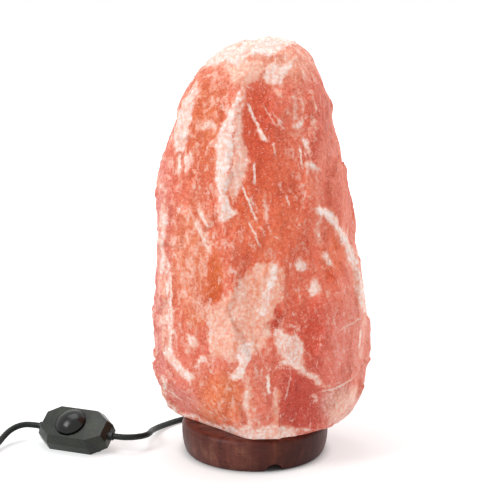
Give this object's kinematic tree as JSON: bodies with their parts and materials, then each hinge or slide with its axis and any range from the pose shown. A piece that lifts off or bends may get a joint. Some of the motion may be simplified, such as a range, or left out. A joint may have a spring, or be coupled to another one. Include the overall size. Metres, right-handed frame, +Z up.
{
  "type": "table_lamp",
  "caption": "Salt crystal lamp: a hewn orange salt block on a stained wooden base, lit by a small bulb in a clip-in holder, with an inline rotary dimmer on its plug cord",
  "frame": {"origin": "centre of the wooden base's underside, on the surface that it stands on", "axes": "+Z up through the crystal, -Y to the front, +X to the lamp's right as seen from the front; the cord leaves at the back and lies to the left"},
  "size_m": [0.4147, 0.1986, 0.338],
  "materials": {
    "salt": "hewn translucent rock salt, lit from inside",
    "stained_wood": "satin stained hardwood",
    "zinc_steel": "zinc plated",
    "nylon": "moulded",
    "black_plastic": "moulded",
    "brass": "rolled",
    "nickel": "nickel plated",
    "white_ceramic": "unglazed",
    "black_cord": "soft PVC sheath",
    "wire_sheath": "PVC",
    "dark_case": "fine satin texture",
    "gloss_knob": "polished",
    "board": "lacquered",
    "yellow_film": "moulded",
    "beige_resistor": "lacquered",
    "bulb_glass": "clear",
    "black_glass": "opaque",
    "solder": "tinned",
    "glow": "glowing wire"
  },
  "bodies": {
    "cord_set": {"holder_plate": "zinc_steel", "cord_grip": "black_plastic", "grip_screws": "zinc_steel", "holder_wires": "wire_sheath", "holder_foot": "black_plastic", "contact_carrier": "white_ceramic", "terminal_screws": "zinc_steel", "centre_contact": "brass", "screw_shell": "brass", "socket_shell": "black_plastic", "spring_clips": "zinc_steel", "clip_band": "zinc_steel", "clip_rivets": "zinc_steel", "lamp_cord": "black_cord", "dimmer_top_shell": "dark_case", "dimmer_bottom_shell": "dark_case", "case_screws": "zinc_steel", "dimmer_grommets": "black_plastic", "cord_ends": "black_cord", "cord_clamps": "black_plastic", "clamp_screws": "zinc_steel", "dimmer_wires": "wire_sheath", "circuit_board": "board", "potentiometer": "zinc_steel", "pot_nut": "zinc_steel", "triac": "black_plastic", "capacitor": "yellow_film", "resistors": "beige_resistor", "supply_cord": "black_cord", "cord_coil": "black_cord", "coil_ties": "black_plastic", "plug_cord": "black_cord", "plug_strain_relief": "black_plastic", "plug_body": "black_plastic", "plug_pins": "nickel", "pin_sleeves": "black_plastic"},
    "lamp_body": {"salt_crystal": "salt", "wood_base": "stained_wood", "base_screws": "zinc_steel", "screw_anchors": "nylon"},
    "bulb": {"bulb_glass": "bulb_glass", "bulb_cap": "nickel", "cap_insulator": "black_glass", "cap_contact": "solder", "bulb_stem": "bulb_glass", "lead_wires": "solder", "filament": "glow"},
    "knob": {"dimmer_knob": "gloss_knob", "knob_shaft": "zinc_steel"}
  },
  "joints": [
    {"name": "lift_off", "type": "slide", "parent": "cord_set", "child": "lamp_body", "axis": [0, 0, 1], "range_m": [0, 0.14]},
    {"name": "bulb_out", "type": "slide", "parent": "cord_set", "child": "bulb", "axis": [0, 0, 1], "range_m": [0, 0.025]},
    {"name": "dim", "type": "hinge", "parent": "cord_set", "child": "knob", "pos_m": [-0.15164, -0.00361, 0.0233], "axis": [-0.2078, -0.5143, 0.8321], "range_deg": [-150, 150]}
  ]
}
